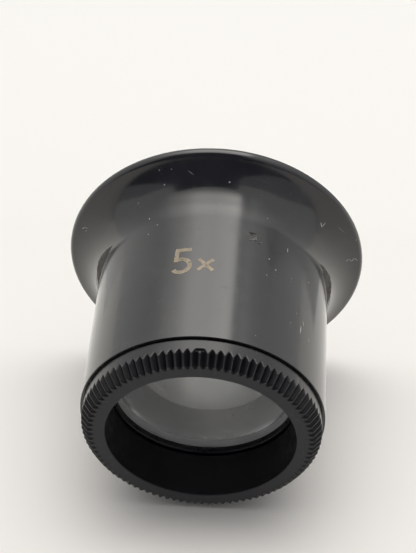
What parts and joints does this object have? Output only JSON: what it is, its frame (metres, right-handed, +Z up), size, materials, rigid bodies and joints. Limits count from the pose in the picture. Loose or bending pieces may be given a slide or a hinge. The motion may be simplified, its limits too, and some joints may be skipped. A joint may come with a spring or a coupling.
{
  "type": "watchmaker's loupe",
  "caption": "Eye loupe: a flared black eye cup whose lens is held by a knurled ring that screws in and out, with vent notches at the root of the flare.",
  "frame": {"origin": "on the table, under the middle of the loupe's box, with the loupe lying on its side as it rolls to rest", "axes": "+Z up from the table; -Y towards the lens end; +X to the right of someone who looks at the lens end along +Y. The optical axis lies in the YZ plane and falls 9.72 degrees towards -Y"},
  "size_m": [0.039, 0.036, 0.0385],
  "materials": {
    "cup_plastic": "polished black moulding, faintly scuffed, sawn and dull in the vent notches",
    "ring_plastic": "satin black, polished on the collar and bare on the knurl",
    "lens_glass": "polished clear glass"
  },
  "bodies": {
    "cup": {"eye_cup": "cup_plastic"},
    "lens_stack": {"pressure_ring": "ring_plastic", "lens": "lens_glass"},
    "ring": {"screw_ring": "ring_plastic"}
  },
  "joints": [
    {"name": "lens_travel", "type": "slide", "parent": "cup", "child": "lens_stack", "axis": [0, -0.9856, -0.1689], "range_m": [0, 0.00252]},
    {"name": "ring_turn", "type": "hinge", "parent": "lens_stack", "child": "ring", "pos_m": [0, -0.01256, 0.01467], "axis": [0, -0.9856, -0.1689], "range_deg": [0, 1210]}
  ],
  "couplings": [
    {"joint": "lens_travel", "follows": "ring_turn", "m_per_rad": 0.00011937}
  ]
}
